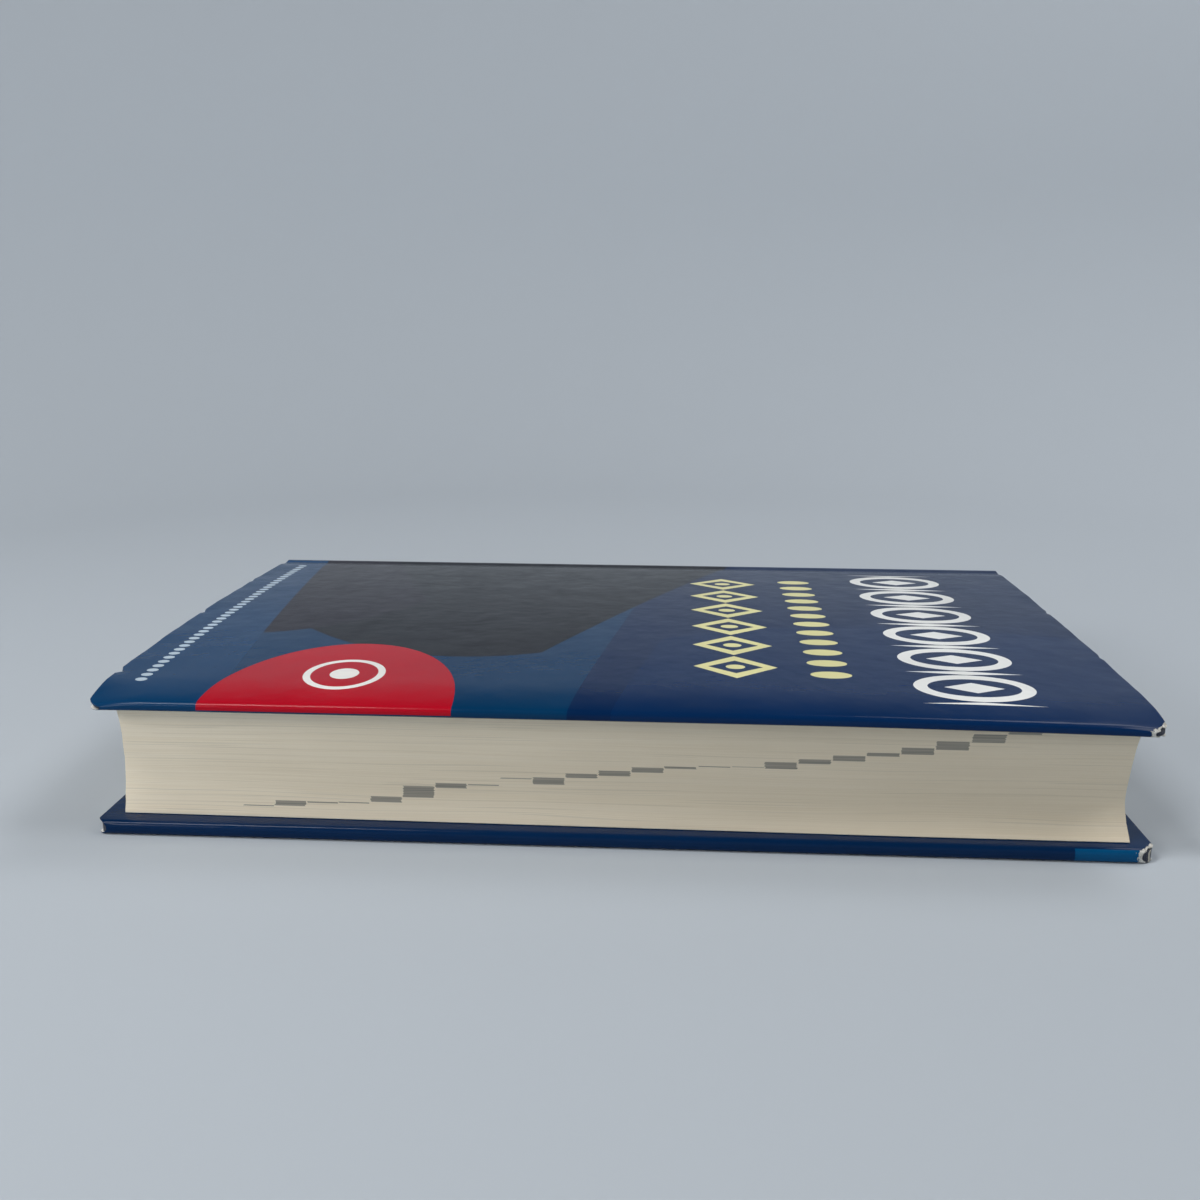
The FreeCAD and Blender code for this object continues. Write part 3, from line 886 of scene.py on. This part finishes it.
def front_print(tree, x, y, z, tone):
    """The fields and ornaments of the front, over a ground colour."""
    face = calc(tree, "GREATER_THAN", z, 30.2)
    field = oval(tree, x, y, (-38, 88), (74, 130))
    tone = mix(tree, both(tree, field, half_plane(tree, x, y, 1.0, -0.45, -2.0)), tone, paint("12141d"))
    field = both(tree, oval(tree, x, y, (-96, 70), (52, 96)), half_plane(tree, x, y, 1.0, 0.35, -52.0))
    tone = mix(tree, field, tone, paint("1c1826"))
    field = both(tree, oval(tree, x, y, (70, -120), (118, 112)), half_plane(tree, x, y, -1.0, 0.2, -14.0))
    tone = mix(tree, calc(tree, "MULTIPLY", field, 0.6), tone, paint("062c58"))
    field = half_plane(tree, x, y, 1.0, 0.10, -92.0)
    tone = mix(tree, field, tone, paint("083a62"))
    half_oval = both(tree, oval(tree, x, y, (-61, -74.3), (27, 41)), calc(tree, "GREATER_THAN", z, 28.9))
    tone = mix(tree, half_oval, tone, paint("b30d22"))
    eye = (-61, -56)
    ring = calc(tree, "SUBTRACT", oval(tree, x, y, eye, (9, 10)), oval(tree, x, y, eye, (7.4, 8.4)))
    dot = oval(tree, x, y, eye, (3.2, 3.6))
    tone = mix(tree, both(tree, face, calc(tree, "MAXIMUM", ring, dot)), tone, paint("f4f2ee"))
    run = repeated(tree, y, -66.0, 20.5)
    row = both(tree, face, between(tree, y, -66.0, 57.0))
    column = (77, 0)
    ring = calc(tree, "SUBTRACT", oval(tree, x, run, column, (13, 8.6)), oval(tree, x, run, column, (10, 5.8)))
    white = calc(tree, "MAXIMUM", ring, lozenge(tree, x, run, column, (6.5, 3.4)))
    link = repeated(tree, y, -55.75, 20.5)
    white = calc(tree, "MAXIMUM", white, lozenge(tree, x, link, column, (13, 1.3)))
    tone = mix(tree, both(tree, row, white), tone, paint("f2f3f0"))
    row = both(tree, face, between(tree, y, -54.0, 48.0))
    run = repeated(tree, y, -54.0, 17.0)
    pale = calc(
        tree, "SUBTRACT", lozenge(tree, x, run, (26, 0), (9.5, 8.0)), lozenge(tree, x, run, (26, 0), (6.2, 4.6))
    )
    pale = calc(tree, "MAXIMUM", pale, oval(tree, x, run, (26, 0), (2.2, 1.6)))
    small = repeated(tree, y, -54.0, 8.5)
    pale = calc(tree, "MAXIMUM", pale, oval(tree, x, small, (47, 0), (4.6, 2.4)))
    tone = mix(tree, both(tree, row, pale), tone, paint("e9e3a4"))
    dashes = oval(tree, x, repeated(tree, y, -64.0, 3.1), (-104.5, 0), (1.3, 1.05))
    row = both(tree, face, between(tree, y, -64.0, 60.0))
    tone = mix(tree, both(tree, row, dashes), tone, paint("b9cad8"))
    return tone


def torn_corner(tree, x, y, frayed):
    """1 where bare fibre shows, at the head corner and along the rim of its round."""
    reach = distance(tree, calc(tree, "SUBTRACT", x, JACKET_END), calc(tree, "SUBTRACT", y, FORE_Y))
    across = calc(tree, "ADD", x, TORN_ROUND - JACKET_END)
    along = calc(tree, "ADD", y, -TORN_ROUND - FORE_Y)
    inward = distance(tree, across, along)
    rim = calc(tree, "GREATER_THAN", calc(tree, "MULTIPLY_ADD", frayed, 0.45, inward), TORN_ROUND - 0.12)
    rim = both(tree, rim, below(tree, calc(tree, "MULTIPLY_ADD", frayed, 1.5, reach), 4.6))
    core = below(tree, calc(tree, "MULTIPLY_ADD", frayed, 0.8, reach), 2.9)
    return calc(tree, "MAXIMUM", rim, core)


def film(name, side):
    """The printed and laminated outside of the jacket, front or back."""
    made, tree, shader = finish(name, IOR=1.5, Specular_IOR_Level=0.11)
    x, y, z = millimetres(tree)
    tone = mix(tree, half_plane(tree, x, y, 1.0, -0.14, 0.5), paint("04244c"), paint("03355a"))
    if side > 0:
        tone = front_print(tree, x, y, z, tone)
    else:
        tip = both(tree, calc(tree, "GREATER_THAN", x, 95.4), below(tree, y, FORE_Y + 0.6))
        tone = mix(tree, tip, paint("04264c"), paint("034c78"))
    patches = grain(tree, x, y, z, (26, 26, 26), 3.0)
    tone = mix(tree, calc(tree, "MULTIPLY", patches, 0.14), tone, paint("0a1424"))
    frayed = grain(tree, x, y, z, (0.7, 0.7, 0.7), 3.0, 0.7)
    torn = torn_corner(tree, x, y, frayed)
    fluff = mix(tree, frayed, paint("a39f94"), paint("efeee9"))
    tone = mix(tree, torn, tone, fluff)
    feed(tree, shader.inputs["Base Color"], tone)
    smear = grain(tree, x, y, z, (9, 16, 9), 4.0, 0.65)
    gloss = calc(tree, "MULTIPLY_ADD", smear, 0.1, 0.14)
    feed(tree, shader.inputs["Roughness"], calc(tree, "MAXIMUM", gloss, calc(tree, "MULTIPLY", torn, 0.85)))
    dents = grain(tree, x, y, z, (9, 9, 9), 2.0, 0.5)
    pits = grain(tree, x, y, z, (2.2, 2.2, 2.2), 2.0, 0.6)
    height = calc(tree, "MULTIPLY_ADD", pits, 0.12, dents)
    height = calc(tree, "MULTIPLY_ADD", calc(tree, "MULTIPLY", torn, frayed), 3.0, height)
    bump(tree, shader, height, 0.07)
    return made


# %% [markdown]
# The paper gets its thickness, with white fibre inside and along its cut edges. A block with
# rounded corners trims it in plan, the front sheet sinks with its board, and a ragged post tears a
# small bite out of each head corner.

# %% Cut and dress the jacket
def corner_block(tail_round):
    """A tall block with the plan of the closed book, and with its two fore-edge corners rounded."""
    deselect()
    size = (2 * JACKET_END + 0.8, 160, 60)
    place = (0, (FORE_Y - 0.02 + size[1] / 2) * MM, MIDDLE_Z * MM)
    bpy.ops.mesh.primitive_cube_add(size=1, location=place, scale=[length * MM for length in size])
    block = settle("corner_block")
    pick("EDGE", lambda p: p.y < FORE_Y + 1 and p.x < 0)
    bpy.ops.mesh.bevel(offset=tail_round * MM, segments=8, affect="EDGES")
    pick("EDGE", lambda p: p.y < FORE_Y + 0.01 and p.x > 50)
    bpy.ops.mesh.bevel(offset=TORN_ROUND * MM, segments=10, affect="EDGES")
    deselect()
    return block


def ragged_post(x, y, z, radius, height, seed):
    """A post with a ragged side, to tear a bite out of the paper with."""
    deselect()
    place = (x * MM, y * MM, z * MM)
    bpy.ops.mesh.primitive_cylinder_add(vertices=18, radius=radius * MM, depth=height * MM, location=place)
    post = settle("ragged_post")
    pick_edges_along(2)
    bpy.ops.mesh.subdivide(number_cuts=7)
    bpy.ops.mesh.select_all(action="SELECT")
    bpy.ops.transform.vertex_random(offset=0.3 * MM, uniform=1.0, seed=seed)
    bpy.ops.mesh.quads_convert_to_tris()
    deselect()
    return post


def cut_with(piece, tool, operation):
    """Cuts a piece with a tool, and takes the tool away."""
    shape_with(piece, "BOOLEAN", object=tool, operation=operation, solver="EXACT")
    bpy.data.objects.remove(tool)


for sheet, cover, side in ((front_jacket, "front_cover", 1), (back_jacket, "back_cover", -1)):
    dress(sheet, film(cover + "_print", side), white_paper)
    shape_with(sheet, "SOLIDIFY", thickness=0.2 * MM, offset=-1, material_offset=1, material_offset_rim=1)
    cut_with(sheet, corner_block(4.9 if side > 0 else 3.7), "INTERSECT")
    if side > 0:
        shift(sheet, "Z", -4.0, lambda p: -sunk(p) if p.y < HINGE_EDGE and p.z > MIDDLE_Z else 0.0)
    bite = ragged_post(JACKET_END - 0.6, FORE_Y + 0.6, mirrored(29.5, side), 1.35, 6, 5 + side)
    cut_with(sheet, bite, "DIFFERENCE")
    shade(sheet, 40)
    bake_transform(sheet)
    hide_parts("jacket_" + cover[:-6], "jacket_spine")
    print(sheet.name, len(sheet.data.polygons), "faces with its thickness")

# %% [markdown]
# ## Floor, light and camera
# A pale sweep of paper runs under the book and up round it, with no line where the floor ends. It
# darkens towards its top, so that the film has something deep to reflect. A low soft lamp at the
# front left lights the leaves, two strips hang over the left and the right, and the left one draws
# the thin bright line along the jacket's fold. A lamp at the back right softens the shadows.

# %% Floor and backdrop
FLOOR = 0.42
CURVE = 0.3
deselect()
bpy.ops.mesh.primitive_circle_add(vertices=96, radius=FLOOR, fill_type="NOTHING", location=(0, 0, 0))
sweep = bpy.context.object
sweep.name = "paper_sweep"
bpy.ops.object.mode_set(mode="EDIT")
bpy.ops.mesh.select_all(action="SELECT")
rings = []
for tilt in range(5, 75, 5):
    slope = math.radians(tilt)
    rings.append((FLOOR + CURVE * math.sin(slope), CURVE * (1 - math.cos(slope))))
rings.append((rings[-1][0] + 0.24, rings[-1][1] + 0.66))
radius, height = FLOOR, 0.0
for wide, high in rings:
    bpy.ops.mesh.extrude_region_move(TRANSFORM_OT_translate={"value": (0, 0, high - height)})
    bpy.ops.transform.resize(value=(wide / radius, wide / radius, 1), center_override=(0, 0, high))
    radius, height = wide, high
pick("VERT", lambda p: p.z < 0.01)
bpy.ops.mesh.edge_face_add()
bpy.ops.mesh.select_all(action="SELECT")
bpy.ops.mesh.normals_make_consistent(inside=True)
activate(sweep)
bpy.ops.object.shade_smooth()
backdrop, tree, shader = finish("pale_sweep", Roughness=0.9, Specular_IOR_Level=0.2)
x, y, z = millimetres(tree)
height = spread(tree, z, 360, 640, kind="SMOOTHSTEP")
feed(tree, shader.inputs["Base Color"], mix(tree, height, paint("b5bcc3"), paint("5a6066")))
dress(sweep, backdrop)
print("sweep", [round(v, 2) for v in sweep.dimensions])

# %% Lamps and sky
def lamp(name, place, width, height, power, colour):
    """An area lamp at a place, turned towards the book."""
    deselect()
    bpy.ops.object.light_add(type="AREA", location=place)
    made = bpy.context.object
    made.name = name
    made.data.shape = "RECTANGLE"
    made.data.size = width
    made.data.size_y = height
    made.data.energy = power
    made.data.color = colour
    made.rotation_mode = "QUATERNION"
    made.rotation_quaternion = (-Vector(place)).to_track_quat("-Z", "Y")


lamp("low_lamp", (-0.52, -0.52, 0.29), 0.36, 0.36, 3.75, (1.0, 0.985, 0.955))
lamp("left_strip", (-0.53, -0.3, 1.1), 0.12, 0.5, 5.6, (1.0, 1.0, 1.0))
lamp("right_strip", (0.78, -0.1, 1.05), 0.4, 0.4, 3.5, (1.0, 1.0, 1.0))
lamp("back_lamp", (0.5, 0.45, 0.95), 0.5, 0.5, 3.1, (1.0, 1.0, 1.0))
world = bpy.data.worlds.new("soft_sky")
world.use_nodes = True
world.node_tree.nodes["Background"].inputs[0].default_value = (0.97, 0.985, 1.0, 1)
world.node_tree.nodes["Background"].inputs[1].default_value = 0.05
bpy.context.scene.world = world
bpy.context.scene.view_settings.view_transform = "Standard"

# %% Camera
bpy.ops.object.camera_add(location=(0.01129, -0.31659, 0.11295))
camera = bpy.context.object
camera.name = "photo_camera"
camera.data.sensor_width = 36
camera.data.lens = 37.253
turned = Matrix.Rotation(math.radians(3.3922), 4, "Z")
turned = turned @ Matrix.Rotation(math.radians(90 - 13.6037), 4, "X")
turned = turned @ Matrix.Rotation(math.radians(0.1889), 4, "Z")
camera.rotation_mode = "QUATERNION"
camera.rotation_quaternion = turned.to_quaternion()
camera.data.clip_start = 0.01
bpy.context.scene.camera = camera
deselect()
